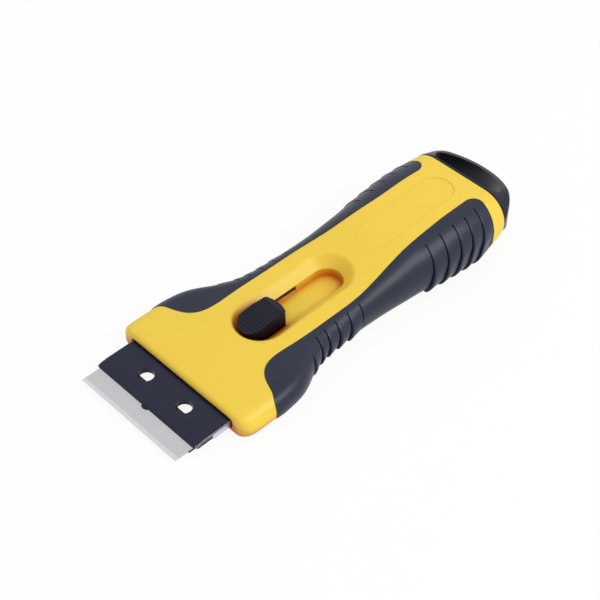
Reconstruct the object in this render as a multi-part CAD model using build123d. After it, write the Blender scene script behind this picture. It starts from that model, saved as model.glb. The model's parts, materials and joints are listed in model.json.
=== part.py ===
from build123d import *
import os
from math import cos, radians, sin, sqrt, tan

# Ceramic hob scraper: a wide single-edge blade in a sheet-metal carriage, which a thumb button
# slides out of and back into a moulded handle. Lengths are millimetres.
# The pieces are drawn in the blade's frame: X across, Y from the cutting edge to the hanging
# end, Z up, with Z zero in the middle of the blade. At the end everything is turned by
# rest_pitch, so that the flat underside lies on Z zero and the rest face's centre is the origin.

# General clearances and cutting overrun
fit_gap = 0.1
slide_gap = 0.3
overrun = 30.0

# Blade: a standard 60 x 19 scraper blade
blade_width = 60.0
blade_depth = 19.0
blade_thickness = 0.4
hone_depth = 1.8
blade_hole_diameter = 5.1
blade_hole_y = 10.75

# Jaws and carrier that hold the blade
jaw_half_width = 31.2
jaw_sheet = 0.8
carrier_thickness = 1.2
jaw_nose_y = 9.4
jaw_nose_land = 1.0
jaw_nose_lean = 0.8
jaw_nose_height = 1.07
jaw_bend_y = 14.5
lower_jaw_front_y = 7.2
carrier_front_y = 19.3
carriage_rear_y = 41.0
carriage_notch_y = 31.0
carriage_notch_half = 12.0
side_lip_front_y = 11.0
carrier_flange_drop = 1.6
carrier_flange_thickness = 1.0
sight_hole_diameter = 7.3
sight_hole_x = 12.2
sight_hole_y = 20.4
arm_inner_x = 12.4
arm_width = 4.0
arm_front_y = 39.5
arm_rear_y = 74.0

# Rivets through the jaws, and the stud that locates the blade
rivet_y = 36.0
rivet_inner_x = 17.0
rivet_pitch = 9.5
rivet_diameter = 2.8
rivet_head_diameter = 4.4
rivet_head_height = 0.55
stud_diameter = 4.7
stud_shank_diameter = 3.0

# Travel of the carriage from the blade out to the blade in
blade_travel = 30.0

# Handle body: its length, its half widths and its heights above the blade plane
mouth_y = 29.0
body_length = 176.0
head_half_width = 40.3
waist_half_width = 27.2
head_top = 5.6
rear_top = 10.8
top_corner = 14.5
bottom_corner = 10.4
rest_pitch = 5.23
sole_drop = 4.5
end_rise = 8.1
plan_corner = 5.5
mouth_edge_round = 2.5
sole_edge_round = 0.8
mouth_corner = 2.4
mouth_sole_corner = 1.2
top_wall = 2.2
side_wall = 3.2
body_end_y = mouth_y + body_length

# Stations of the body, as shares of body_length; the width between waist (0) and head (1);
# the top between head_top (0) and rear_top (1); the corners of top_corner and bottom_corner;
# and the underside's rise at the hanging end as a share of end_rise.
body_shares = [
    (0.0352, 1.000, 0.000, 0.470, 0.308, 0.0),
    (0.0910, 1.000, 0.000, 0.470, 0.404, 0.0),
    (0.1534, 0.995, 0.000, 0.455, 0.480, 0.0),
    (0.1875, 0.916, -0.020, 0.460, 0.510, 0.0),
    (0.2216, 0.756, -0.060, 0.475, 0.529, 0.0),
    (0.2557, 0.511, -0.100, 0.490, 0.538, 0.0),
    (0.2898, 0.290, -0.125, 0.503, 0.548, 0.0),
    (0.3295, 0.122, -0.154, 0.517, 0.577, 0.0),
    (0.3750, 0.053, -0.173, 0.538, 0.606, 0.0),
    (0.4318, 0.019, -0.173, 0.552, 0.644, 0.0),
    (0.4886, 0.008, -0.115, 0.593, 0.692, 0.0),
    (0.5455, 0.011, 0.040, 0.690, 0.731, 0.0),
    (0.6023, 0.046, 0.290, 0.814, 0.779, 0.0),
    (0.6591, 0.092, 0.615, 0.952, 0.837, 0.0),
    (0.7159, 0.153, 0.790, 1.000, 0.875, 0.0),
    (0.7841, 0.214, 0.885, 1.000, 0.923, 0.0),
    (0.8580, 0.260, 1.000, 0.993, 0.981, 0.0),
    (0.9034, 0.255, 0.975, 0.986, 0.975, 0.0),
    (0.9318, 0.237, 0.940, 0.979, 0.960, 0.10),
    (0.9660, 0.210, 0.880, 0.960, 0.885, 0.42),
    (1.0000, 0.168, 0.790, 0.931, 0.770, 1.0),
]
# Angles round the front corner at which the body has more stations, in degrees
front_corner_angles = (0, 20, 40, 60)

# Mouth and channel in the head, in which the carriage slides
mouth_half_width = 32.2
mouth_top = 2.9
mouth_bottom = 2.4
mouth_recess_depth = 3.0
mouth_rounding = 1.6
channel_gap = 0.3
channel_rear_y = 72.5
rail_inner_x = 29.5
front_bar_depth = 4.5

# Cover plate on the underside
cover_thickness = 2.0
cover_margin = 1.8
cover_ledge = 1.6
cover_ledge_thickness = 1.4
cover_rear_y = 186.0
cover_rear_corner = 8.0
tongue_reach = 2.0
tongue_thickness = 0.9
tongue_half_width = 24.0
cavity_front_y = 66.0

# Screws that hold the cover: distance from the middle, and place along the handle
cover_screw_places = ((20.2, 80.0), (12.0, 132.0), (12.0, 177.0))
cover_screw_diameter = 2.4
cover_screw_head_diameter = 5.0
cover_screw_head_height = 1.2
cover_screw_length = 8.5
cover_head_recess = 1.4
boss_diameter = 6.0
cross_slot_width = 0.8
cross_slot_depth = 0.6

# Thumb dish, and the well in its bottom in which the button runs
dish_half_width = 13.5
dish_front_y = 61.7
dish_rear_y = 127.5
rim_half_width = 7.4
rim_front_y = 65.5
rim_rear_y = 123.5
rim_z = 0.4
dish_shell = 1.9
dish_shell_drop = 1.3
well_floor_z = -3.8
well_wall = 1.2
slot_front_y = 65.6
slot_rear_y = 103.6
slot_top_z = 0.1
dish_edge_round = 2.5
rim_edge_round = 0.6

# Leaf springs beside the well, which the button's lugs click over
spring_inner_x = 7.8
spring_width = 3.0
spring_thickness = 0.4
spring_ledge_z = -2.8
spring_front_y = 59.2
spring_rear_y = 106.8
spring_crest_height = 0.3
spring_crest_length = 3.0
spring_crest_gap = 2.2
ledge_width = 3.6
ledge_end = 1.4
peg_inset = 2.1
peg_diameter = 1.0
peg_head_diameter = 2.0
peg_head_height = 0.5

# Thumb button, with two lugs that reach through the well's sides
button_base_half = 7.0
button_half_width = 6.7
button_front_y = 63.6
button_rear_y = 85.8
button_rear_bow = 0.9
button_rear_corner = 2.2
button_flare_z = 4.4
button_crown_y = 77.0
button_crown_z = 8.4
button_rear_z = 7.6
button_front_z = 4.2
button_foot_gap = 0.4
button_rib_pitch = 1.55
button_rib_depth = 0.5
button_rib_count = 12
lug_front_y = 66.2
lug_rear_y = 73.0
lug_bottom_z = -1.7

# Screws that fasten the carrier's arms to the lugs
arm_screw_y = 69.6
arm_screw_diameter = 2.0
arm_screw_head_diameter = 3.4
arm_screw_head_height = 0.9

# Grips along both sides
grip_thickness = 1.6
grip_sole_gap = 2.2
grip_front_y = 46.3
grip_rear_y = 198.1
grip_reach = 41.5
# Inner edge of a grip, as shares of grip_reach across and of the grip's length along
grip_edge_shares = [
    (1.000, 0.0000),
    (0.920, 0.0072),
    (0.829, 0.0204),
    (0.706, 0.0336),
    (0.593, 0.0514),
    (0.518, 0.0777),
    (0.484, 0.1140),
    (0.487, 0.1891),
    (0.489, 0.3538),
    (0.484, 0.4460),
    (0.451, 0.5316),
    (0.414, 0.6107),
    (0.390, 0.6897),
    (0.373, 0.7688),
    (0.366, 0.8676),
    (0.361, 0.9565),
]
grip_end_mid_shares = (0.400, 0.9881)
grip_end_shares = (0.494, 1.0000)
grip_end_side_shares = (0.750, 0.9901)
# Ribs: the places of their grooves at blade height, the lean and the height
front_groove_places = (77.0, 84.0, 89.8, 96.8, 104.3, 112.0)
rear_groove_places = (156.0, 165.0, 173.3, 181.0, 188.7, 196.6)
rib_height = 1.3
rib_rise = 1.1
rib_front_height = 0.8
rib_rear_height = 0.2
rib_top_sink = 0.4
rib_lean = 14.0
rib_groove_width = 0.7
rib_groove_depth = 0.6
front_rib_inner_x = 22.8
rear_rib_inner_x = 20.6
front_rib_top_z = 4.5
rear_rib_top_z = 9.8

# Label recess behind the dish
label_half_width = 8.6
label_front_y = 137.5
label_rear_y = 196.8
label_depth = 0.3

# End cap with its hanging eye
cap_length = 19.7
cap_band = 1.5
cap_tip_z = 2.6
cap_tip_half_width = 27.0
cap_plan_setback = 8.0
cap_tip_bottom = -8.5
cap_tip_corner = 8.0
cap_tip_low_corner = 3.2
cap_edge_round = 2.0
eye_rear_y = 221.2
eye_side_y = 211.8
eye_half_width = 20.6
eye_front_half = 17.0
eye_corner = 2.0
spigot_length = 8.0
spigot_wall = 2.0

# Heights in the stack of jaws, blade and carrier
blade_top = blade_thickness / 2
carrier_top = carrier_thickness - blade_top
jaw_top = carrier_top + jaw_sheet
lower_jaw_top = -blade_top
lower_jaw_bottom = lower_jaw_top - jaw_sheet
arm_centre_x = arm_inner_x + arm_width / 2
arm_outer_x = arm_inner_x + arm_width
button_bottom = well_floor_z + button_foot_gap
well_bottom = well_floor_z - well_wall
spring_top = spring_ledge_z + spring_thickness
grip_length = grip_rear_y - grip_front_y
pitch_slope = tan(radians(rest_pitch))


def sole_height(y):
    """Height of the flat underside below the blade plane, at a place along the handle."""
    return -(sole_drop + (y - mouth_y) * pitch_slope)


sole_plane = Plane(
    origin=(0, mouth_y, -sole_drop),
    x_dir=(1, 0, 0),
    z_dir=(0, sin(radians(rest_pitch)), cos(radians(rest_pitch))),
)


def along_sole(y):
    """Distance from the mouth along the underside of a place along the handle."""
    return (y - mouth_y) / cos(radians(rest_pitch))


def block(x_low, x_high, y_low, y_high, z_low, z_high):
    """A box between two corners."""
    size = (x_high - x_low, y_high - y_low, z_high - z_low)
    middle = ((x_low + x_high) / 2, (y_low + y_high) / 2, (z_low + z_high) / 2)
    return Pos(*middle) * Box(*size)


def rod(x, y, z_low, z_high, diameter):
    """An upright cylinder."""
    middle = (x, y, (z_low + z_high) / 2)
    return Pos(*middle) * Cylinder(diameter / 2, z_high - z_low)


def rounded_outline(plane, half_width, top, bottom, top_round, bottom_round):
    """A closed outline across the handle: flat top and bottom, upright sides, round corners."""
    diagonal = 1 - sqrt(0.5)
    right_bottom = (half_width - bottom_round, bottom)
    right_low = (half_width, bottom + bottom_round)
    right_low_mid = (half_width - bottom_round * diagonal, bottom + bottom_round * diagonal)
    right_high = (half_width, top - top_round)
    right_high_mid = (half_width - top_round * diagonal, top - top_round * diagonal)
    right_top = (half_width - top_round, top)
    path = [right_bottom, right_low_mid, right_low, right_high, right_high_mid, right_top]
    right = [plane.from_local_coords(point) for point in path]
    left = [plane.from_local_coords((-x, z)) for x, z in path]
    return Wire(
        [
            Edge.make_line(left[0], right[0]),
            Edge.make_three_point_arc(right[0], right[1], right[2]),
            Edge.make_line(right[2], right[3]),
            Edge.make_three_point_arc(right[3], right[4], right[5]),
            Edge.make_line(right[5], left[5]),
            Edge.make_three_point_arc(left[5], left[4], left[3]),
            Edge.make_line(left[3], left[2]),
            Edge.make_three_point_arc(left[2], left[1], left[0]),
        ]
    )


def station(row):
    """Place, half width, top, top corner, bottom corner and underside height at one station."""
    length_share, width_share, top_share, corner_share, low_corner_share, rise_share = row
    y = mouth_y + length_share * body_length
    half_width = waist_half_width + width_share * (head_half_width - waist_half_width)
    top = head_top + top_share * (rear_top - head_top)
    bottom = sole_height(y) + rise_share * end_rise
    return y, half_width, top, bottom, corner_share * top_corner, low_corner_share * bottom_corner


def front_station(angle):
    """A station on the rounded front corner, at an angle round the corner's arc."""
    first = station(body_shares[0])
    turn = radians(angle)
    back = plan_corner * (1 - cos(turn))
    y = mouth_y + back
    half_width = head_half_width - plan_corner * (1 - sin(turn))
    top_drop = max(mouth_edge_round - back, 0)
    top = head_top - mouth_edge_round + sqrt(mouth_edge_round**2 - top_drop**2)
    low_drop = max(sole_edge_round - back, 0)
    bottom = sole_height(y) + sole_edge_round - sqrt(sole_edge_round**2 - low_drop**2)
    corner = mouth_corner + (first[4] - mouth_corner) * sin(turn)
    low_corner = mouth_sole_corner + (first[5] - mouth_sole_corner) * sin(turn)
    return y, half_width, top, bottom, corner, low_corner


body_stations = [front_station(angle) for angle in front_corner_angles]
body_stations += [station(row) for row in body_shares]


def body_at(y):
    """The body's sizes at any place along the handle, between its two nearest stations."""
    last = len(body_stations) - 1
    index = 1
    while index < last and body_stations[index][0] < y:
        index += 1
    before = body_stations[index - 1]
    after = body_stations[index]
    share = (y - before[0]) / (after[0] - before[0])
    return [low + share * (high - low) for low, high in zip(before, after)]


def across(y):
    """The upright plane across the handle at a place along it."""
    return Plane(origin=(0, y, 0), x_dir=(1, 0, 0), z_dir=(0, -1, 0))


def body_section(sizes, side=0.0, top=0.0, bottom=0.0):
    """A section of the body, drawn in by a wall at the sides, the top and the bottom."""
    y, half_width, high, low, corner, low_corner = sizes
    return rounded_outline(
        across(y), half_width - side, high - top, low + bottom, corner - side, low_corner - side
    )


def body_form(first_y, last_y, side=0.0, top=0.0, bottom=0.0):
    """The body's smooth form between two places, drawn in by a wall."""
    chosen = [sizes for sizes in body_stations if first_y <= sizes[0] <= last_y]
    return Solid.make_loft([body_section(sizes, side, top, bottom) for sizes in chosen])


def stadium(half_width, front_y, rear_y, z):
    """A closed outline with round ends, level, at height z."""
    front = front_y + half_width
    rear = rear_y - half_width
    return Wire(
        [
            Edge.make_line((half_width, front, z), (half_width, rear, z)),
            Edge.make_three_point_arc((half_width, rear, z), (0, rear_y, z), (-half_width, rear, z)),
            Edge.make_line((-half_width, rear, z), (-half_width, front, z)),
            Edge.make_three_point_arc(
                (-half_width, front, z), (0, front_y, z), (half_width, front, z)
            ),
        ]
    )


def stadium_block(half_width, front_y, rear_y, z_low, z_high):
    """An upright block with round ends."""
    low = stadium(half_width, front_y, rear_y, z_low)
    return Solid.extrude(Face(low), Vector(0, 0, z_high - z_low))


def dish_outline(z, grow):
    """The dish's sloping side at height z, moved outward by grow."""
    share = (z - rim_z) / (head_top - rim_z)
    half_width = rim_half_width + share * (dish_half_width - rim_half_width) + grow
    front = rim_front_y + share * (dish_front_y - rim_front_y) - grow
    rear = rim_rear_y + share * (dish_rear_y - rim_rear_y) + grow
    return stadium(half_width, front, rear, z)


def dish_form(z_low, z_high, grow):
    """The dish as a solid between two heights."""
    return Solid.make_loft([dish_outline(z_low, grow), dish_outline(z_high, grow)], ruled=True)


def cover_half(y, grow):
    """Half width of the cover plate at a place along the handle."""
    sizes = body_at(y)
    return sizes[1] - sizes[5] - cover_margin + grow


def cover_outline(grow, limit, front_y, rear_y):
    """The cover plate's outline on the underside, no wider than the limit."""
    rows = [sizes[0] for sizes in body_stations if front_y < sizes[0] < rear_y - cover_rear_corner]
    rows = [front_y] + rows + [rear_y]
    sides = [(min(cover_half(y, grow), limit), along_sole(y)) for y in rows]
    right = [Vector(x, v) for x, v in sides]
    left = [Vector(-x, v) for x, v in reversed(sides)]
    outline = Polyline(*(right + left), close=True)
    face = make_face(outline)
    rear = face.vertices().sort_by(Axis.Y)[-2:]
    return fillet(rear, cover_rear_corner)


def on_sole(sketch, low, high):
    """A sketch on the underside as a solid between two heights above it."""
    raised = sole_plane.offset(low)
    return extrude(raised * sketch, amount=high - low)


def sole_rod(x, y, low, high, diameter):
    """A cylinder square to the underside, between two heights above it."""
    return on_sole(Pos(x, along_sole(y)) * Circle(diameter / 2), low, high)


def side_block(side, x_low, x_high, y_low, y_high, z_low, z_high):
    """A box given for the right-hand side, put on either side."""
    xs = sorted((side * x_low, side * x_high))
    return block(xs[0], xs[1], y_low, y_high, z_low, z_high)


def grip_region():
    """The plan area that the right-hand grip covers, as an upright solid."""
    def place(shares):
        return (shares[0] * grip_reach, grip_front_y + shares[1] * grip_length)

    inner = Spline(*[place(shares) for shares in grip_edge_shares])
    end = ThreePointArc(place(grip_edge_shares[-1]), place(grip_end_mid_shares), place(grip_end_shares))
    tail = Line(place(grip_end_shares), place(grip_end_side_shares))
    beyond = grip_reach + overrun
    outside = Polyline(
        place(grip_end_side_shares),
        (beyond, place(grip_end_side_shares)[1]),
        (beyond, grip_front_y),
        place(grip_edge_shares[0]),
    )
    face = make_face(Curve() + [inner, end, tail, outside])
    return extrude(Pos(0, 0, -overrun) * face, amount=2 * overrun)


def above_sole(gap):
    """Everything more than a gap above the underside."""
    wide = Rectangle(4 * head_half_width, 3 * body_length)
    return on_sole(Pos(0, body_length / 2) * wide, gap, gap + 3 * overrun)


def rib_section(y, proud):
    """A leaning section of the body, proud of it beside and below and sunk under its top."""
    lean = tan(radians(rib_lean))
    stretch = 1 / cos(radians(rib_lean))
    sizes = body_at(y)
    top = body_at(y + sizes[2] * lean)[2]
    bottom = body_at(y + sizes[3] * lean)[3]
    normal = (0, -cos(radians(rib_lean)), sin(radians(rib_lean)))
    plane = Plane(origin=(0, y, 0), x_dir=(1, 0, 0), z_dir=normal)
    return rounded_outline(
        plane,
        sizes[1] + proud,
        top * stretch - rib_top_sink,
        bottom * stretch - proud,
        sizes[4] + proud,
        sizes[5] + proud,
    )


def rib_band(places, inner_x, top_z):
    """The space that one group of ribs may fill beside the handle."""
    return block(inner_x, inner_x + overrun, places[0] - overrun, places[-1] + overrun, -overrun, top_z)


def rib_group(places, band):
    """Ribs between neighbouring grooves: each rises fast behind a groove and falls to the next."""
    clear = rib_groove_width / 4
    ribs = Part()
    for front, rear in zip(places, places[1:]):
        outlines = [
            rib_section(front + clear, rib_front_height),
            rib_section(front + rib_rise, rib_height),
            rib_section(rear - clear, rib_rear_height),
        ]
        ribs += Solid.make_loft(outlines, ruled=True)
    return ribs & band


def groove_group(places, band):
    """Thin leaning slabs at the grooves of one group."""
    slabs = Part()
    thickness = rib_groove_width * cos(radians(rib_lean))
    for y in places:
        slabs += Pos(0, y, 0) * Rot(-rib_lean, 0, 0) * Box(4 * head_half_width, thickness, 3 * overrun)
    return slabs & band


def grip_bed():
    """What the right-hand grip takes out of the body's side, from its inner face outward."""
    region = grip_region() & above_sole(grip_sole_gap)
    first_y = body_stations[len(front_corner_angles)][0]
    return region - body_form(first_y, body_end_y, grip_thickness, grip_thickness, grip_thickness)


def make_grip(bed):
    """The right-hand soft grip: a skin in the body's side with two groups of raised ribs."""
    first_y = body_stations[len(front_corner_angles)][0]
    grip = body_form(first_y, body_end_y) & bed
    groups = (
        (front_groove_places, front_rib_inner_x, front_rib_top_z),
        (rear_groove_places, rear_rib_inner_x, rear_rib_top_z),
    )
    ribs = Part()
    grooves = Part()
    for places, inner_x, top_z in groups:
        band = rib_band(places, inner_x, top_z)
        ribs += rib_group(places, band)
        grooves += groove_group(places, band)
    grooves &= grip_region()
    grooves -= body_form(first_y, body_end_y, rib_groove_depth, rib_groove_depth, rib_groove_depth)
    return grip + (ribs & bed) - grooves


def well_and_ledges():
    """The well's walls and floor under the dish, with a ledge for a leaf spring on each side."""
    well = dish_form(rim_z - dish_shell / 2, head_top - dish_shell_drop, dish_shell)
    well += stadium_block(
        rim_half_width + well_wall, rim_front_y - well_wall, rim_rear_y + well_wall, well_bottom, rim_z
    )
    for side in (-1, 1):
        well += side_block(
            side,
            rim_half_width,
            spring_inner_x + ledge_width,
            spring_front_y - ledge_end,
            spring_rear_y + ledge_end,
            well_bottom,
            spring_ledge_z,
        )
    return well


def dish_and_well():
    """What is taken out of the top: the sloping dish and the well in its bottom."""
    cut = dish_form(rim_z, rear_top, 0)
    return cut + stadium_block(rim_half_width, rim_front_y, rim_rear_y, well_floor_z, rim_z)


def round_dish_edges(body):
    """The body with the dish's upper edge and the well's rim rounded."""
    level = [edge for edge in body.edges() if edge.bounding_box().size.Z < dish_edge_round]
    inside = [edge for edge in level if rim_front_y - overrun < edge.center().Y < rim_rear_y + overrun]
    near = [edge for edge in inside if abs(edge.center().X) <= dish_half_width]
    rim = [edge for edge in near if abs(edge.center().Z - rim_z) < fit_gap]
    body = fillet(rim, rim_edge_round)
    reach = dish_half_width + side_wall
    upper = []
    for edge in body.edges():
        middle = edge.center()
        box = edge.bounding_box()
        high = middle.Z > head_top - top_wall and box.size.Z < dish_edge_round
        along = dish_front_y - side_wall < middle.Y < dish_rear_y + side_wall
        if high and along and abs(middle.X) < reach and box.size.X < 2 * reach:
            upper.append(edge)
    return fillet([edge for edge in upper if edge.length > side_wall], dish_edge_round)


def slots_and_peg_holes():
    """The slots through the well's sides for the button's lugs, and the holes for the pegs."""
    cut = block(-arm_inner_x, arm_inner_x, slot_front_y, slot_rear_y, spring_ledge_z, slot_top_z)
    for side in (-1, 1):
        for x, y in peg_places(side):
            cut += rod(x, y, well_bottom, spring_ledge_z, peg_diameter + fit_gap)
    return cut


def cover_bosses():
    """Upright posts for the cover's screws, from the cover up into the top wall."""
    posts = Part()
    for x, y in cover_screw_places:
        high = body_at(y)[2] - top_wall / 2 - sole_height(y)
        for side in (-1, 1):
            posts += sole_rod(side * x, y, cover_thickness, high, boss_diameter)
    return posts


def cover_screw_rods(diameter, low, high):
    """One rod at each cover screw, between two heights above the underside."""
    rods = Part()
    for x, y in cover_screw_places:
        for side in (-1, 1):
            rods += sole_rod(side * x, y, low, high, diameter)
    return rods


def spigot_outline(inset):
    """The body's opening at the hanging end, drawn in by a clearance or a wall."""
    floor = cover_thickness + cover_ledge_thickness
    sizes = body_at(body_end_y)
    return body_section(sizes, side_wall + inset, top_wall + inset, floor + inset)


def mouth_opening():
    """The mouth's rounded opening in the front face."""
    outline = rounded_outline(
        across(mouth_y - fit_gap),
        mouth_half_width,
        mouth_top,
        -mouth_bottom,
        mouth_rounding,
        mouth_rounding / 2,
    )
    return Solid.extrude(Face(outline), Vector(0, mouth_recess_depth + fit_gap, 0))


def label_recess(body):
    """A shallow recess with round ends that follows the top surface."""
    pad = stadium_block(label_half_width, label_front_y, label_rear_y, 0, 2 * rear_top)
    return pad - Pos(0, 0, -label_depth) * body


def casing_hollow():
    """The space inside the casing, round the well, its ledges and the screw posts."""
    floor = cover_thickness + cover_ledge_thickness
    bar_rear = mouth_y + front_bar_depth
    channel_half = jaw_half_width + channel_gap
    rail_top = lower_jaw_top - carrier_flange_drop - slide_gap
    hollow = body_form(cavity_front_y, body_end_y, side_wall, top_wall, floor)
    hollow += block(-channel_half, channel_half, mouth_y, channel_rear_y, rail_top, mouth_top)
    head = Pos(0, along_sole((bar_rear + channel_rear_y) / 2)) * Rectangle(
        2 * rail_inner_x, channel_rear_y - bar_rear
    )
    hollow += on_sole(head, floor, 2 * floor)
    under = cover_outline(-cover_ledge, rail_inner_x, bar_rear, cover_rear_y - cover_ledge)
    hollow += on_sole(under, cover_thickness / 2, floor + cover_ledge)
    return hollow - well_and_ledges() - cover_bosses()


def cover_bed():
    """The recess in the underside for the cover and its tongue."""
    bar_rear = mouth_y + front_bar_depth
    outline = cover_outline(fit_gap, head_half_width, bar_rear - fit_gap, cover_rear_y + fit_gap)
    bed = on_sole(outline, -overrun, cover_thickness)
    rebate = Pos(0, along_sole(bar_rear - tongue_reach / 2)) * Rectangle(
        2 * (tongue_half_width + fit_gap), tongue_reach + 2 * fit_gap
    )
    floor = cover_thickness + cover_ledge_thickness
    return bed + on_sole(rebate, cover_thickness - tongue_thickness - fit_gap, floor)


def make_casing(grip_beds):
    """The yellow moulding: shell, head channel, thumb dish and well, ledges and screw posts."""
    outer = body_form(mouth_y, body_end_y)
    shell = round_dish_edges(outer - dish_and_well())
    shell -= casing_hollow()
    shell -= mouth_opening()
    shell -= cover_bed()
    shell -= slots_and_peg_holes()
    shell -= cover_screw_rods(cover_screw_diameter + fit_gap, 0, cover_head_recess + cover_screw_length)
    for bed in grip_beds:
        shell -= bed
    shell -= label_recess(outer)
    return shell


def make_cover():
    """The flat plate that closes the underside, with a tongue under the mouth."""
    bar_rear = mouth_y + front_bar_depth
    outline = cover_outline(0, head_half_width, bar_rear, cover_rear_y)
    plate = on_sole(outline, 0, cover_thickness)
    tongue = Pos(0, along_sole(bar_rear - tongue_reach / 2) + fit_gap) * Rectangle(
        2 * tongue_half_width, tongue_reach + 2 * fit_gap
    )
    plate += on_sole(tongue, cover_thickness - tongue_thickness, cover_thickness)
    plate -= cover_screw_rods(cover_screw_diameter + 2 * fit_gap, 0, cover_thickness)
    plate -= cover_screw_rods(cover_screw_head_diameter + 4 * fit_gap, 0, cover_head_recess)
    return plate


def make_cover_screws():
    """Six screws from below, with cross slots in their heads."""
    head_low = cover_head_recess - cover_screw_head_height
    screws = cover_screw_rods(cover_screw_head_diameter, head_low, cover_head_recess)
    screws += cover_screw_rods(cover_screw_diameter, head_low, cover_head_recess + cover_screw_length)
    slot_length = cover_screw_head_diameter - cover_screw_head_height
    cross = Rectangle(slot_length, cross_slot_width) + Rectangle(cross_slot_width, slot_length)
    for x, y in cover_screw_places:
        for side in (-1, 1):
            screws -= on_sole(Pos(side * x, along_sole(y)) * cross, 0, head_low + cross_slot_depth)
    return screws


def cap_form():
    """The end cap's outer form: a band, then a half oval that falls and flattens to its tip."""
    end = body_at(body_end_y)
    tip_y = body_end_y + cap_length
    band_y = body_end_y + cap_band
    band = (band_y, *end[1:])
    tip = (tip_y, cap_tip_half_width, cap_tip_z, cap_tip_bottom, cap_tip_corner, cap_tip_low_corner)
    form = Solid.extrude(Face(body_section(end)), Vector(0, cap_band, 0))
    form += Solid.make_loft([body_section(band), body_section(tip)], ruled=True)
    depth = cap_length + cap_plan_setback
    width = (end[1] + fit_gap) / sqrt(1 - (cap_plan_setback / depth) ** 2)
    plan = Pos(0, body_end_y - cap_plan_setback) * Ellipse(width, depth)
    form &= extrude(Pos(0, 0, -overrun) * plan, amount=2 * overrun)
    rim = []
    for edge in form.edges():
        box = edge.bounding_box()
        along = box.max.Y > band_y + fit_gap
        wide = min(box.size.X, box.size.Y) > fit_gap
        if along and wide and edge.center().Z > cap_tip_bottom / 2:
            rim.append(edge)
    return fillet(rim, cap_edge_round)


def eye_outline():
    """The hanging eye's outline: straight in front, one bow behind."""
    front_y = body_end_y + cap_band
    eye = make_face(
        Curve()
        + [
            Line((-eye_front_half, front_y), (eye_front_half, front_y)),
            Line((eye_front_half, front_y), (eye_half_width, eye_side_y)),
            ThreePointArc((eye_half_width, eye_side_y), (0, eye_rear_y), (-eye_half_width, eye_side_y)),
            Line((-eye_half_width, eye_side_y), (-eye_front_half, front_y)),
        ]
    )
    return fillet(eye.vertices(), eye_corner)


def make_cap():
    """The dark end cap: a band, a spigot inside the body and a sloping loop round the eye."""
    cap = cap_form() - extrude(Pos(0, 0, -overrun) * eye_outline(), amount=2 * overrun)
    spigot = Solid.extrude(Face(spigot_outline(fit_gap)), Vector(0, -spigot_length, 0))
    spigot -= Solid.extrude(Face(spigot_outline(fit_gap + spigot_wall)), Vector(0, -spigot_length, 0))
    return cap + spigot


def make_spring(side):
    """One leaf spring: a flat strip with a crest at each end of the travel."""
    low = spring_ledge_z
    top = spring_top
    half_crest = spring_crest_length / 2
    front_crest = lug_rear_y + spring_crest_gap
    rear_crest = lug_front_y + blade_travel - spring_crest_gap
    lower = [(spring_front_y, low)]
    upper = [(spring_front_y, top)]
    for crest in (front_crest, rear_crest):
        lower += [(crest - half_crest, low), (crest, low + spring_crest_height), (crest + half_crest, low)]
        upper += [(crest - half_crest, top), (crest, top + spring_crest_height), (crest + half_crest, top)]
    lower.append((spring_rear_y, low))
    upper.append((spring_rear_y, top))
    outline = [(0, y, z) for y, z in lower + upper[::-1]]
    strip = extrude(make_face(Polyline(*outline, close=True)), amount=spring_width, dir=(1, 0, 0))
    x_low = min(side * spring_inner_x, side * (spring_inner_x + spring_width))
    strip = Pos(x_low, 0, 0) * strip
    tab_inner = rim_half_width + well_wall + slide_gap
    strip -= side_block(side, 0, tab_inner, slot_rear_y - slide_gap, spring_rear_y, low, top)
    for x, y in peg_places(side):
        strip -= rod(x, y, low - spring_thickness, top + spring_thickness, peg_diameter + fit_gap)
    return strip


def peg_places(side):
    """Where the two pegs of one leaf spring stand."""
    x = side * (spring_inner_x + peg_inset)
    return [(x, spring_front_y + peg_head_diameter / 2), (x, spring_rear_y - peg_head_diameter / 2)]


def make_spring_pegs():
    """Four pegs that hold the leaf springs down on their ledges."""
    pegs = Part()
    for side in (-1, 1):
        for x, y in peg_places(side):
            pegs += rod(x, y, well_bottom, spring_top, peg_diameter)
            pegs += rod(x, y, spring_top, spring_top + peg_head_height, peg_head_diameter)
    return pegs


def button_outline(half_width, front_y, z):
    """The button's outline at height z: round in front, a little bowed behind."""
    arc_y = front_y + half_width
    rear = button_rear_y - button_rear_bow
    corner = button_rear_corner
    slant = corner * (1 - sqrt(0.5))
    edges = [
        Edge.make_line((half_width, arc_y, z), (half_width, rear - corner, z)),
        Edge.make_three_point_arc(
            (half_width, rear - corner, z),
            (half_width - slant, rear - slant, z),
            (half_width - corner, rear, z),
        ),
        Edge.make_three_point_arc(
            (half_width - corner, rear, z), (0, button_rear_y, z), (corner - half_width, rear, z)
        ),
        Edge.make_three_point_arc(
            (corner - half_width, rear, z),
            (slant - half_width, rear - slant, z),
            (-half_width, rear - corner, z),
        ),
        Edge.make_line((-half_width, rear - corner, z), (-half_width, arc_y, z)),
        Edge.make_three_point_arc(
            (-half_width, arc_y, z), (0, front_y, z), (half_width, arc_y, z)
        ),
    ]
    return Wire(edges)


def crown_height(y):
    """The button's top along its length: a quarter oval in front of the crown, a slope behind."""
    if y >= button_crown_y:
        share = (y - button_crown_y) / (button_rear_y - button_crown_y)
        return button_crown_z + share * (button_rear_z - button_crown_z)
    share = (button_crown_y - y) / (button_crown_y - button_front_y + fit_gap)
    return button_front_z + (button_crown_z - button_front_z) * sqrt(1 - share**2)


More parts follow.
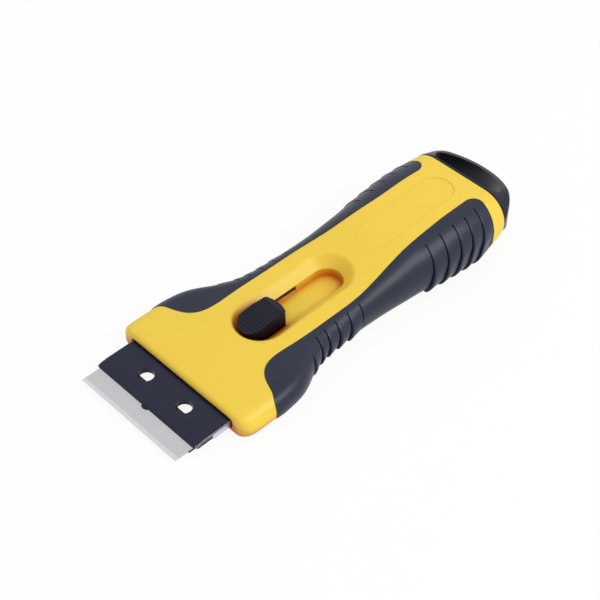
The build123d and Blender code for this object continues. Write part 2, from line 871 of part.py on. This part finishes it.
def button_profile():
    """Side view of the button's top, with its thumb ribs, as a closed face."""
    points = [(0, button_front_y - overrun, button_bottom - overrun)]
    points.append((0, button_front_y - overrun, button_front_z))
    for index in range(button_rib_count):
        y = button_front_y + index * button_rib_pitch
        crest = y + button_rib_pitch / 2
        points.append((0, y, crown_height(y) - button_rib_depth))
        points.append((0, crest - button_rib_depth / 2, crown_height(crest)))
        points.append((0, crest + button_rib_depth / 2, crown_height(crest)))
    last_y = button_front_y + button_rib_count * button_rib_pitch
    points.append((0, last_y, crown_height(last_y) - button_rib_depth))
    points.append((0, last_y + button_rib_depth, crown_height(last_y + button_rib_depth)))
    points.append((0, button_rear_y, button_rear_z))
    points.append((0, button_rear_y + overrun, button_rear_z))
    points.append((0, button_rear_y + overrun, button_bottom - overrun))
    return make_face(Polyline(*points, close=True))


def make_button():
    """The black thumb button, with its lugs through the well's slots."""
    foot = rim_front_y + slide_gap
    base = Solid.make_loft(
        [
            button_outline(button_base_half, foot, button_bottom),
            button_outline(button_base_half, foot, rim_z),
            button_outline(button_half_width, button_front_y, button_flare_z),
            button_outline(button_half_width, button_front_y, button_crown_z + button_rib_depth),
        ],
        ruled=True,
    )
    button = base & extrude(button_profile(), amount=overrun, dir=(1, 0, 0), both=True)
    button += block(-arm_outer_x, arm_outer_x, lug_front_y, lug_rear_y, lug_bottom_z, lower_jaw_top)
    for side in (-1, 1):
        button -= rod(
            side * arm_centre_x, arm_screw_y, lug_bottom_z, lower_jaw_top, arm_screw_diameter + fit_gap
        )
    return button


def make_arm_screws():
    """Two screws down through the carrier's arms into the button's lugs."""
    screws = Part()
    high = carrier_top + arm_screw_head_height
    slot_length = arm_screw_head_diameter - cross_slot_width
    cross = Rectangle(slot_length, cross_slot_width) + Rectangle(cross_slot_width, slot_length)
    for side in (-1, 1):
        x = side * arm_centre_x
        screws += rod(x, arm_screw_y, carrier_top, high, arm_screw_head_diameter)
        screws += rod(x, arm_screw_y, lug_bottom_z, carrier_top, arm_screw_diameter)
        screws -= extrude(Pos(x, arm_screw_y, high - cross_slot_depth) * cross, amount=cross_slot_depth)
    return screws


def plate_cuts(z_low, z_high):
    """What every plate of the carriage leaves open: notch, sight holes and rivet holes."""
    cuts = block(
        -carriage_notch_half,
        carriage_notch_half,
        carriage_notch_y,
        carriage_rear_y + overrun,
        z_low,
        z_high,
    )
    for side in (-1, 1):
        cuts += rod(side * sight_hole_x, sight_hole_y, z_low, z_high, sight_hole_diameter)
        for index in range(2):
            x = side * (rivet_inner_x + index * rivet_pitch)
            cuts += rod(x, rivet_y, z_low, z_high, rivet_diameter + fit_gap)
    return cuts


def make_blade():
    """The blade: a flat plate honed on both faces, with a locating hole."""
    half = blade_width / 2
    profile = Polyline(
        (-half, 0, 0),
        (-half, hone_depth, blade_top),
        (-half, blade_depth, blade_top),
        (-half, blade_depth, -blade_top),
        (-half, hone_depth, -blade_top),
        close=True,
    )
    blade = extrude(make_face(profile), amount=blade_width, dir=(1, 0, 0))
    return blade - rod(0, blade_hole_y, -blade_top, blade_top, blade_hole_diameter)


def jaw_underside(y):
    """Height of the top jaw's underside where it slopes down to the blade."""
    land_y = jaw_nose_y + jaw_nose_land
    share = (y - land_y) / (jaw_bend_y - land_y)
    return blade_top + share * (carrier_top - blade_top)


def make_top_jaw():
    """The dark top plate, bent down to a nose that presses on the blade."""
    land_y = jaw_nose_y + jaw_nose_land
    profile = Polyline(
        (-jaw_half_width, jaw_nose_y, blade_top),
        (-jaw_half_width, jaw_nose_y + jaw_nose_lean, blade_top + jaw_nose_height),
        (-jaw_half_width, jaw_bend_y, jaw_top),
        (-jaw_half_width, carriage_rear_y, jaw_top),
        (-jaw_half_width, carriage_rear_y, carrier_top),
        (-jaw_half_width, jaw_bend_y, carrier_top),
        (-jaw_half_width, land_y, blade_top),
        close=True,
    )
    jaw = extrude(make_face(profile), amount=2 * jaw_half_width, dir=(1, 0, 0))
    return jaw - plate_cuts(blade_top, jaw_top)


def make_lower_jaw():
    """The dark lower plate under the blade, with a lip up each side of it."""
    inner_half = jaw_half_width - carrier_flange_thickness
    low, high = lower_jaw_bottom, lower_jaw_top
    jaw = block(-inner_half, inner_half, lower_jaw_front_y, carriage_rear_y, low, high)
    for side in (-1, 1):
        lip_inner = jaw_half_width - jaw_sheet
        lip_rear = carrier_front_y
        jaw += side_block(side, inner_half, jaw_half_width, side_lip_front_y, lip_rear, low, high)
        x_low = min(side * lip_inner, side * jaw_half_width)
        lip = Polyline(
            (x_low, side_lip_front_y, low),
            (x_low, side_lip_front_y, jaw_underside(side_lip_front_y)),
            (x_low, jaw_bend_y, carrier_top),
            (x_low, lip_rear, carrier_top),
            (x_low, lip_rear, low),
            close=True,
        )
        jaw += extrude(make_face(lip), amount=jaw_sheet, dir=(1, 0, 0))
    jaw -= plate_cuts(low, high)
    return jaw - rod(0, blade_hole_y, low, high, stud_shank_diameter + fit_gap)


def make_carrier():
    """The bright carrier plate between the jaws, with side flanges and two arms to the button."""
    low, high = lower_jaw_top, carrier_top
    plate = block(-jaw_half_width, jaw_half_width, carrier_front_y, carriage_rear_y, low, high)
    plate -= plate_cuts(low, high)
    for side in (-1, 1):
        plate += side_block(side, arm_inner_x, arm_outer_x, arm_front_y, arm_rear_y, low, high)
        plate += side_block(
            side,
            jaw_half_width - carrier_flange_thickness,
            jaw_half_width,
            carrier_front_y,
            carriage_rear_y,
            low - carrier_flange_drop,
            high,
        )
        plate -= rod(side * arm_centre_x, arm_screw_y, low, high, arm_screw_diameter + fit_gap)
    return plate


def make_rivets():
    """Four rivets through the jaws and the carrier."""
    rivets = Part()
    for side in (-1, 1):
        for index in range(2):
            x = side * (rivet_inner_x + index * rivet_pitch)
            top = jaw_top + rivet_head_height
            bottom = lower_jaw_bottom - rivet_head_height
            rivets += rod(x, rivet_y, bottom, top, rivet_diameter)
            rivets += rod(x, rivet_y, jaw_top, top, rivet_head_diameter)
            rivets += rod(x, rivet_y, bottom, lower_jaw_bottom, rivet_head_diameter)
    return rivets


def make_stud():
    """The stud in the blade's hole, riveted into the lower jaw."""
    bottom = lower_jaw_bottom - rivet_head_height
    stud = rod(0, blade_hole_y, lower_jaw_top, blade_top, stud_diameter)
    stud += rod(0, blade_hole_y, bottom, lower_jaw_top, stud_shank_diameter)
    return stud + rod(0, blade_hole_y, bottom, lower_jaw_bottom, stud_diameter)


rest_middle = along_sole(mouth_y + body_length / 2)
rest_plane = sole_plane.shift_origin(sole_plane.from_local_coords((0, rest_middle, 0)))


def write_node(name, shape):
    """One piece in the rest frame, as a file of its own."""
    export_step(rest_plane.to_local_coords(shape), "parts/" + name + ".step")


def main():
    """Every piece, in the order in which it would be put together."""
    os.makedirs("parts", exist_ok=True)
    right_bed = grip_bed()
    left_bed = mirror(right_bed, Plane.YZ)
    right_grip = make_grip(right_bed)
    write_node("grip_right", right_grip)
    write_node("grip_left", mirror(right_grip, Plane.YZ))
    write_node("handle_casing", make_casing((left_bed, right_bed)))
    write_node("bottom_cover", make_cover())
    write_node("cover_screws", make_cover_screws())
    write_node("end_cap", make_cap())
    write_node("detent_spring_left", make_spring(-1))
    write_node("detent_spring_right", make_spring(1))
    write_node("spring_pegs", make_spring_pegs())
    write_node("thumb_button", make_button())
    write_node("button_screws", make_arm_screws())
    write_node("blade_carrier", make_carrier())
    write_node("top_jaw", make_top_jaw())
    write_node("lower_jaw", make_lower_jaw())
    write_node("jaw_rivets", make_rivets())
    write_node("blade_stud", make_stud())
    write_node("blade", make_blade())


main()
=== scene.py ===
import json
from math import cos, radians, sin

import bpy
from mathutils import Matrix, Vector

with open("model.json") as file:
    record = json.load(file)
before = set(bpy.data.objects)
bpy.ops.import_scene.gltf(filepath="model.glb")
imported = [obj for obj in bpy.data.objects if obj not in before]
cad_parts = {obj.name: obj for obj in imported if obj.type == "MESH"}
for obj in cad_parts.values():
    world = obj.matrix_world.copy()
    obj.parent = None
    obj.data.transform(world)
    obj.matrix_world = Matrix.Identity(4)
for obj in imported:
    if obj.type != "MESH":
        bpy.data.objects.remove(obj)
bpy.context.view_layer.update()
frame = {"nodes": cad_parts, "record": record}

MM = 0.001
nodes = frame["nodes"]

# The blade's own frame, in millimetres, turned by the underside's pitch as the part is drawn
PITCH = radians(5.23)
MOUTH_Y = 29.0
SOLE_DROP = 4.5
BODY_LENGTH = 176.0
REST_MIDDLE = BODY_LENGTH / 2 / cos(PITCH)

# The photograph's camera, in the blade's frame, in millimetres and degrees
CAMERA_AZIMUTH = 45.7557
CAMERA_ELEVATION = 45.8011
CAMERA_ROLL = 0.0853
CAMERA_DISTANCE = 625.52
CAMERA_TARGET = (3.7134, 95.3336, 5.0)
FOCAL_PIXELS = 1421.98
IMAGE_PIXELS = 600
SENSOR_WIDTH = 36.0
NEAR_CLIP = 10.0

# Places on the drawn part where a material's look changes, and how softly, in metres
DISH_END_Y = 0.012
DISH_BLUR = 0.002
HONE_END_Y = -0.11587
JAW_SHADE_Y = -0.1072
LINE_BLUR = 0.0001
SHEET_EDGE_X = 0.0305
CARRIER_EDGE_X = 0.0302
SIDE_BLUR = 0.0002

# Values between which a node's output rises or falls
NOISE_RANGE = (0.3, 0.7)
EDGE_RANGE = (0.86, 0.985)
HOLLOW_RANGE = (0.35, 0.8)

# How far a face looks for others that shade it, in metres
HOLLOW_REACH = 0.012

# Noise sizes, in waves for each metre
BODY_WAVES = 28.0
BLOTCH_WAVES = 45.0
PATCH_WAVES = 60.0
SCRATCH_WAVES = 700.0
BRUSH_WAVES = 900.0

# Heights of the surfaces' waves and lines, and the radius that sharp sheet edges seem to have
BODY_WAVE_HEIGHT = 0.0005
LINE_HEIGHT = 0.00002
SHEET_ROUND = 0.0004

# Shares of the noise's scale in each direction, which draw it out into lines
SCRATCHES_ALONG = (1, 0.05, 1)
BRUSHED_ALONG = (1, 0.04, 1)
BRUSHED_ACROSS = (0.06, 1, 1)

# Light and surroundings
WHITE = (1, 1, 1)
SKY_STRENGTH = 0.77
FLOOR_HALF = 4.0
FLOOR_WHITE_SHARE = 0.9
KEY_PLACE = (0.6, 0.3, 0.75)
KEY_SIZE = 0.4
KEY_POWER = 3.5


def turned(vector):
    """A direction of the blade's frame, in the rest frame."""
    x, y, z = vector
    return Vector((x, y * cos(PITCH) - z * sin(PITCH), y * sin(PITCH) + z * cos(PITCH)))


def placed(point):
    """A point of the blade's frame in millimetres, in the rest frame in metres."""
    x, y, z = point
    moved = turned((x, y - MOUTH_Y, z + SOLE_DROP))
    return Vector((moved.x, moved.y - REST_MIDDLE, moved.z)) * MM


def add_camera():
    """The camera from which the photograph was taken."""
    azimuth = radians(CAMERA_AZIMUTH)
    elevation = radians(CAMERA_ELEVATION)
    roll = radians(CAMERA_ROLL)
    back = Vector((sin(azimuth) * cos(elevation), -cos(azimuth) * cos(elevation), sin(elevation)))
    level = Vector((cos(azimuth), sin(azimuth), 0))
    rise = back.cross(level)
    right = level * cos(roll) + rise * sin(roll)
    up = rise * cos(roll) - level * sin(roll)
    eye = placed(Vector(CAMERA_TARGET) + back * CAMERA_DISTANCE)
    data = bpy.data.cameras.new("camera")
    data.sensor_width = SENSOR_WIDTH
    data.lens = FOCAL_PIXELS / IMAGE_PIXELS * SENSOR_WIDTH
    data.clip_start = NEAR_CLIP * MM
    camera = bpy.data.objects.new("camera", data)
    bpy.context.scene.collection.objects.link(camera)
    axes = Matrix((turned(right), turned(up), turned(back))).transposed()
    camera.matrix_world = Matrix.Translation(eye) @ axes.to_4x4()
    bpy.context.scene.camera = camera


add_camera()


def combined(tree, operation, first, second):
    """The result of a maths node that takes two outputs, or an output and a number."""
    node = tree.nodes.new("ShaderNodeMath")
    node.operation = operation
    for socket, value in zip(node.inputs, (first, second)):
        if isinstance(value, float):
            socket.default_value = value
        else:
            tree.links.new(value, socket)
    return node.outputs[0]


class Shader:
    """A material's node tree, with short calls for the nodes that it needs."""

    def __init__(self, name):
        self.slot = name
        self.material = bpy.data.materials.new(name)
        self.material.use_nodes = True
        self.tree = self.material.node_tree
        self.surface = self.tree.nodes["Principled BSDF"]
        self.place = self.tree.nodes.new("ShaderNodeTexCoord").outputs["Object"]

    def link(self, output, target):
        self.tree.links.new(output, target)

    def feed(self, **outputs):
        """Links outputs to the surface's inputs of those names."""
        for key, output in outputs.items():
            self.link(output, self.surface.inputs[key.replace("_", " ")])

    def set(self, **values):
        """Sets uniform values on the surface's inputs of those names."""
        for key, value in values.items():
            self.surface.inputs[key.replace("_", " ")].default_value = value

    def noise(self, scale, detail=4.0, roughness=0.55, stretch=None):
        """A cloudy value, drawn out along one direction where stretch is given."""
        node = self.tree.nodes.new("ShaderNodeTexNoise")
        node.inputs["Scale"].default_value = scale
        node.inputs["Detail"].default_value = detail
        node.inputs["Roughness"].default_value = roughness
        place = self.place
        if stretch is not None:
            mapping = self.tree.nodes.new("ShaderNodeMapping")
            mapping.inputs["Scale"].default_value = stretch
            self.link(place, mapping.inputs["Vector"])
            place = mapping.outputs["Vector"]
        self.link(place, node.inputs["Vector"])
        return node.outputs["Fac"]

    def ramp(self, value, low, high, span=NOISE_RANGE):
        """A value, changed from its span to the range from low to high."""
        node = self.tree.nodes.new("ShaderNodeMapRange")
        node.inputs["From Min"].default_value, node.inputs["From Max"].default_value = span
        node.inputs["To Min"].default_value = low
        node.inputs["To Max"].default_value = high
        self.link(value, node.inputs["Value"])
        return node.outputs["Result"]

    def mix(self, factor, first, second):
        """A colour between two others, each an output or a tuple."""
        node = self.tree.nodes.new("ShaderNodeMix")
        node.data_type = "RGBA"
        self.link(factor, node.inputs["Factor"])
        for socket, colour in (("A", first), ("B", second)):
            target = [s for s in node.inputs if s.name == socket and s.type == "RGBA"][0]
            if isinstance(colour, tuple):
                target.default_value = (*colour, 1)
            else:
                self.link(colour, target)
        return [s for s in node.outputs if s.type == "RGBA"][0]

    def soft_edge(self, radius):
        """The normal, rounded over sharp edges."""
        node = self.tree.nodes.new("ShaderNodeBevel")
        node.samples = 6
        node.inputs["Radius"].default_value = radius
        return node.outputs["Normal"]

    def edge_mask(self, rounded):
        """Near one along sharp edges and zero on open faces."""
        flat = self.tree.nodes.new("ShaderNodeNewGeometry").outputs["Normal"]
        angle = self.tree.nodes.new("ShaderNodeVectorMath")
        angle.operation = "DOT_PRODUCT"
        self.link(flat, angle.inputs[0])
        self.link(rounded, angle.inputs[1])
        return self.ramp(angle.outputs["Value"], 1, 0, EDGE_RANGE)

    def hollow_shade_mask(self):
        """Near one deep inside a hollow, where shade falls, and zero on open faces; used to paint
        shade into hollows.
        """
        node = self.tree.nodes.new("ShaderNodeAmbientOcclusion")
        node.samples = 8
        node.inputs["Distance"].default_value = HOLLOW_REACH
        return self.ramp(node.outputs["AO"], 1, 0, HOLLOW_RANGE)

    def coordinate(self, axis):
        """One coordinate of the place on the drawn part."""
        split = self.tree.nodes.new("ShaderNodeSeparateXYZ")
        self.link(self.place, split.inputs[0])
        return split.outputs[axis]

    def side_mask(self, half_width):
        """One beyond a distance to the left or right of the middle, and zero between."""
        across = self.tree.nodes.new("ShaderNodeMath")
        across.operation = "ABSOLUTE"
        self.link(self.coordinate("X"), across.inputs[0])
        return self.ramp(across.outputs[0], 0, 1, (half_width - SIDE_BLUR, half_width))

    def front_mask(self, place, blur=LINE_BLUR):
        """One in front of a place along the part, and zero behind it."""
        return self.ramp(self.coordinate("Y"), 1, 0, (place - blur, place + blur))

    def bump(self, height, strength, distance, normal=None):
        """The normal, tilted by the slope of a height."""
        node = self.tree.nodes.new("ShaderNodeBump")
        node.inputs["Strength"].default_value = strength
        node.inputs["Distance"].default_value = distance
        self.link(height, node.inputs["Height"])
        if normal is not None:
            self.link(normal, node.inputs["Normal"])
        return node.outputs["Normal"]


def shaded(colour, share):
    """A colour with each of its parts multiplied by a share, up to full brightness."""
    return tuple(min(part * share, 1) for part in colour)


def around(shader, value, middle, spread):
    """A noise value, changed to vary by a share around a middle value."""
    return shader.ramp(value, middle * (1 - spread), middle * (1 + spread))


def moulded_plastic(name, colour, roughness, variation, grain, depth, edge_round):
    """Moulded plastic: slight colour and gloss changes over a fine moulded grain."""
    shader = Shader(name)
    broad = shader.noise(BODY_WAVES, detail=3.0)
    fine = shader.noise(grain, detail=3.0)
    dark, light = (shaded(colour, share) for share in (1 - variation, 1 + variation))
    shader.tone = shader.mix(shader.ramp(broad, 0, 1), dark, light)
    waves = shader.bump(broad, 0.1, BODY_WAVE_HEIGHT, shader.soft_edge(edge_round))
    shader.feed(
        Base_Color=shader.tone,
        Roughness=around(shader, fine, roughness, 0.1),
        Normal=shader.bump(fine, 0.25, depth, waves),
    )
    return shader


def coated_sheet(name, colour, wear_and_highlight, roughness):
    """Dark coated sheet metal, lighter along the cut edges at its sides: partly bare steel where
    the coat is worn, partly painted highlight.
    """
    shader = Shader(name)
    rounded = shader.soft_edge(SHEET_ROUND)
    scratches = shader.noise(SCRATCH_WAVES, roughness=0.6, stretch=SCRATCHES_ALONG)
    coat = shader.mix(shader.ramp(shader.noise(PATCH_WAVES), 0, 1), shaded(colour, 0.85), colour)
    cut = combined(
        shader.tree, "MULTIPLY", shader.edge_mask(rounded), shader.side_mask(SHEET_EDGE_X)
    )
    shader.feed(
        Base_Color=shader.mix(cut, coat, wear_and_highlight),
        Roughness=around(shader, scratches, roughness, 0.2),
        Normal=shader.bump(scratches, 0.1, LINE_HEIGHT, rounded),
    )
    return shader


def brushed_steel(name, colour, roughness, stretch):
    """Steel with fine lines along one direction."""
    shader = Shader(name)
    lines = shader.noise(BRUSH_WAVES, detail=5.0, roughness=0.65, stretch=stretch)
    shader.tone = shader.mix(shader.ramp(lines, 0, 1), shaded(colour, 0.95), colour)
    shader.feed(
        Base_Color=shader.tone,
        Roughness=around(shader, shader.noise(BLOTCH_WAVES), roughness, 0.05),
        Normal=shader.bump(lines, 0.08, LINE_HEIGHT),
    )
    shader.set(Metallic=1.0)
    return shader


def recolour(shader, mask, outside=None, inside=None):
    """Changes the base colour where a mask is zero or one, and keeps it where none is given."""
    tones = [shader.tone if tone is None else tone for tone in (outside, inside)]
    shader.tone = shader.mix(mask, *tones)
    shader.feed(Base_Color=shader.tone)


def make_materials():
    """One material for each slot of the record, and one for the blade carrier."""
    yellow = moulded_plastic(
        "yellow_plastic",
        (0.87, 0.61, 0.055),
        roughness=0.40,
        variation=0.015,
        grain=2600.0,
        depth=0.00002,
        edge_round=0.00025,
    )
    yellow.set(Specular_IOR_Level=0.4, Subsurface_Weight=0.12, Subsurface_Scale=0.002)
    yellow.set(Subsurface_Radius=(1.0, 0.35, 0.05))
    # Hollows in front of the dish's far end, such as the well, get a deep orange painted shade
    well_shade = combined(
        yellow.tree, "MULTIPLY", yellow.hollow_shade_mask(), yellow.front_mask(DISH_END_Y, DISH_BLUR)
    )
    recolour(yellow, well_shade, inside=(0.60, 0.09, 0.002))

    black = moulded_plastic(
        "black_plastic",
        (0.012, 0.012, 0.024),
        roughness=0.32,
        variation=0.1,
        grain=2400.0,
        depth=0.00003,
        edge_round=0.0002,
    )
    black.set(Specular_IOR_Level=0.2)
    # Hollows of the black parts are darkened: painted shade
    recolour(black, black.hollow_shade_mask(), inside=(0.003, 0.003, 0.006))

    grip = moulded_plastic(
        "soft_grip",
        (0.016, 0.020, 0.040),
        roughness=0.36,
        variation=0.12,
        grain=3000.0,
        depth=0.00004,
        edge_round=0.0002,
    )
    grip.set(Specular_IOR_Level=0.3)

    # The jaws' side edges are near white: partly bare worn steel, partly painted highlight
    sheet = coated_sheet(
        "black_steel", (0.016, 0.017, 0.040), wear_and_highlight=(0.85, 0.85, 0.88), roughness=0.28
    )
    sheet.set(Specular_IOR_Level=0.22)

    # The blade is lighter along its honed edge, and gets painted shade where it runs in under the
    # jaws
    blade = brushed_steel("blade_steel", (0.57, 0.565, 0.59), 0.42, BRUSHED_ALONG)
    recolour(blade, blade.front_mask(HONE_END_Y), inside=(0.66, 0.66, 0.67))
    recolour(blade, blade.front_mask(JAW_SHADE_Y), outside=(0.04, 0.042, 0.05))

    # The carrier is bright along its sides, and gets painted shade between the jaws
    zinc = (0.66, 0.68, 0.72)
    spring = brushed_steel("zinc_steel", zinc, 0.35, BRUSHED_ACROSS)
    carrier = brushed_steel("carrier_steel", zinc, 0.35, BRUSHED_ACROSS)
    recolour(carrier, carrier.side_mask(CARRIER_EDGE_X), outside=(0.02, 0.021, 0.026))

    shaders = (yellow, black, grip, sheet, blade, spring, carrier)
    return {shader.slot: shader.material for shader in shaders}


materials = make_materials()


def dress(obj, slot):
    """Gives a piece its material."""
    obj.data.materials.clear()
    obj.data.materials.append(materials[slot])


for subpart in frame["record"]["subparts"]:
    dress(nodes[subpart["node"]], subpart["material_slot"])
dress(nodes["blade_carrier"], "carrier_steel")


def seen_white(tree):
    """One for rays from the camera, a mirror or glass, which see the surroundings plain white."""
    path = tree.nodes.new("ShaderNodeLightPath")
    total = path.outputs["Is Camera Ray"]
    for other in ("Is Glossy Ray", "Is Transmission Ray"):
        total = combined(tree, "MAXIMUM", total, path.outputs[other])
    return total


def add_mix(tree, share, first, second, target):
    """Two shaders, mixed by a share and linked to an output."""
    mix = tree.nodes.new("ShaderNodeMixShader")
    for source, socket in zip((share, first, second), mix.inputs):
        tree.links.new(source, socket)
    tree.links.new(mix.outputs[0], tree.nodes[target].inputs["Surface"])


def add_world():
    """Soft even light from all round, and plain white wherever it is seen."""
    world = bpy.data.worlds.new("studio")
    world.use_nodes = True
    tree = world.node_tree
    light = tree.nodes["Background"]
    white = tree.nodes.new("ShaderNodeBackground")
    for background, strength in ((light, SKY_STRENGTH), (white, 1.0)):
        background.inputs["Color"].default_value = (*WHITE, 1)
        background.inputs["Strength"].default_value = strength
    add_mix(tree, seen_white(tree), light.outputs[0], white.outputs[0], "World Output")
    bpy.context.scene.world = world


def add_key():
    """A soft square lamp, aimed at the object."""
    data = bpy.data.lights.new("key", "AREA")
    data.shape = "SQUARE"
    data.size = KEY_SIZE
    data.energy = KEY_POWER
    lamp = bpy.data.objects.new("key", data)
    bpy.context.scene.collection.objects.link(lamp)
    lamp.rotation_euler = (-Vector(KEY_PLACE)).to_track_quat("-Z", "Y").to_euler()
    lamp.location = KEY_PLACE


def add_floor():
    """A wide pale floor, white where it is seen, which keeps the object's soft shadow."""
    mesh = bpy.data.meshes.new("floor")
    signs = ((-1, -1), (1, -1), (1, 1), (-1, 1))
    corners = [(x * FLOOR_HALF, y * FLOOR_HALF, 0) for x, y in signs]
    mesh.from_pydata(corners, [], [(0, 1, 2, 3)])
    floor = bpy.data.objects.new("floor", mesh)
    bpy.context.scene.collection.objects.link(floor)
    shader = Shader("floor")
    grain = shader.ramp(shader.noise(PATCH_WAVES, detail=3.0), 0, 1)
    shader.feed(Base_Color=shader.mix(grain, shaded(WHITE, 0.90), shaded(WHITE, 0.93)))
    shader.set(Roughness=0.9)
    tree = shader.tree
    white = tree.nodes.new("ShaderNodeEmission")
    white.inputs["Strength"].default_value = 1.0
    share = combined(tree, "MULTIPLY", seen_white(tree), FLOOR_WHITE_SHARE)
    add_mix(tree, share, shader.surface.outputs[0], white.outputs[0], "Material Output")
    floor.data.materials.append(shader.material)


add_world()
add_floor()
add_key()

bpy.context.scene.view_settings.view_transform = "Standard"
